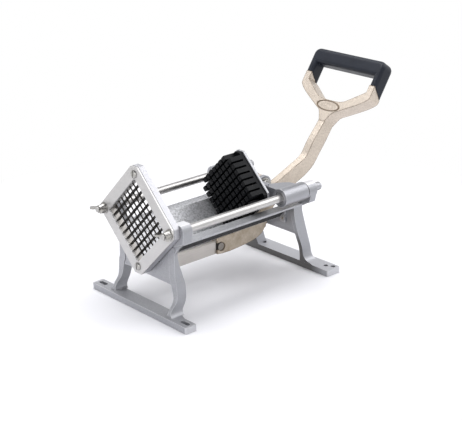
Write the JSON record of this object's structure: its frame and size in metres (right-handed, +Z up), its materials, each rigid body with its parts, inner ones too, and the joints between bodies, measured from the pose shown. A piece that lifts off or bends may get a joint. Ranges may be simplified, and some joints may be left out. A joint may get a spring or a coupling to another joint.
{
  "type": "french fry cutter",
  "caption": "Lever-operated potato cutter: a V trough on two footed supports, a square diagonal blade grid, a pusher on guide rods and a long lever with a D-shaped grip.",
  "frame": {"origin": "on the table, midway between the two slotted holes of the front foot", "axes": "+X to the rear, where the handle is; +Y to the left side; +Z up"},
  "size_m": [0.4663, 0.2144, 0.2966],
  "materials": {
    "cast_alloy": "satin cast aluminium",
    "brushed_plate": "brushed aluminium",
    "rod_steel": "polished steel",
    "blade_steel": "bright rolled stainless steel",
    "fastener_steel": "bright zinc-plated steel",
    "lever_metal": "satin nickel-toned casting",
    "link_metal": "satin steel bar",
    "bush_bronze": "sintered bronze",
    "pusher_plastic": "moulded black plastic",
    "grip_plastic": "blue-black moulded plastic"
  },
  "bodies": {
    "base": {"front_support": "cast_alloy", "rear_support": "cast_alloy", "left_guide_rod": "rod_steel", "right_guide_rod": "rod_steel", "rod_end_nuts": "fastener_steel", "left_trough_wall": "cast_alloy", "right_trough_wall": "cast_alloy", "trough_screws": "fastener_steel", "blade_frame": "cast_alloy", "blade_clamp_plate": "brushed_plate", "front_blades": "blade_steel", "rear_blades": "blade_steel", "blade_frame_screws": "fastener_steel", "wing_nut_washers": "fastener_steel", "link_anchor_screws": "fastener_steel"},
    "wing_nut_left": {"left_wing_nut": "fastener_steel"},
    "wing_nut_right": {"right_wing_nut": "fastener_steel"},
    "pusher": {"crosshead": "cast_alloy", "crosshead_bushes": "bush_bronze", "pusher_plate": "cast_alloy", "pusher_block": "pusher_plastic", "pusher_screws": "fastener_steel", "lever_pivot_bolt": "fastener_steel", "lever_pivot_nut": "fastener_steel", "pivot_washers": "fastener_steel"},
    "handle": {"lever": "lever_metal", "handle_grip": "grip_plastic", "link_pin": "fastener_steel"},
    "drag_link": {"link": "link_metal", "link_front_bush": "bush_bronze"}
  },
  "joints": [
    {"name": "pusher_slide", "type": "slide", "parent": "base", "child": "pusher", "axis": [-1, 0, 0], "range_m": [0, 0.165]},
    {"name": "lever_pivot", "type": "hinge", "parent": "pusher", "child": "handle", "pos_m": [0.227, 0, 0.135], "axis": [0, -1, 0], "range_deg": [0, 92.88]},
    {"name": "link_pivot", "type": "hinge", "parent": "handle", "child": "drag_link", "pos_m": [0.146, 0, 0.055], "axis": [0, -1, 0], "range_deg": [-91.4, 0]},
    {"name": "left_wing_nut_turn", "type": "hinge", "parent": "base", "child": "wing_nut_left", "pos_m": [-0.008, 0.0735, 0.135], "axis": [-1, 0, 0], "continuous": true},
    {"name": "right_wing_nut_turn", "type": "hinge", "parent": "base", "child": "wing_nut_right", "pos_m": [-0.008, -0.0735, 0.135], "axis": [-1, 0, 0], "continuous": true}
  ],
  "couplings": [
    {"joint": "lever_pivot", "follows": "pusher_slide", "rad_per_m": 9.8239},
    {"joint": "link_pivot", "follows": "pusher_slide", "rad_per_m": -9.6667}
  ]
}
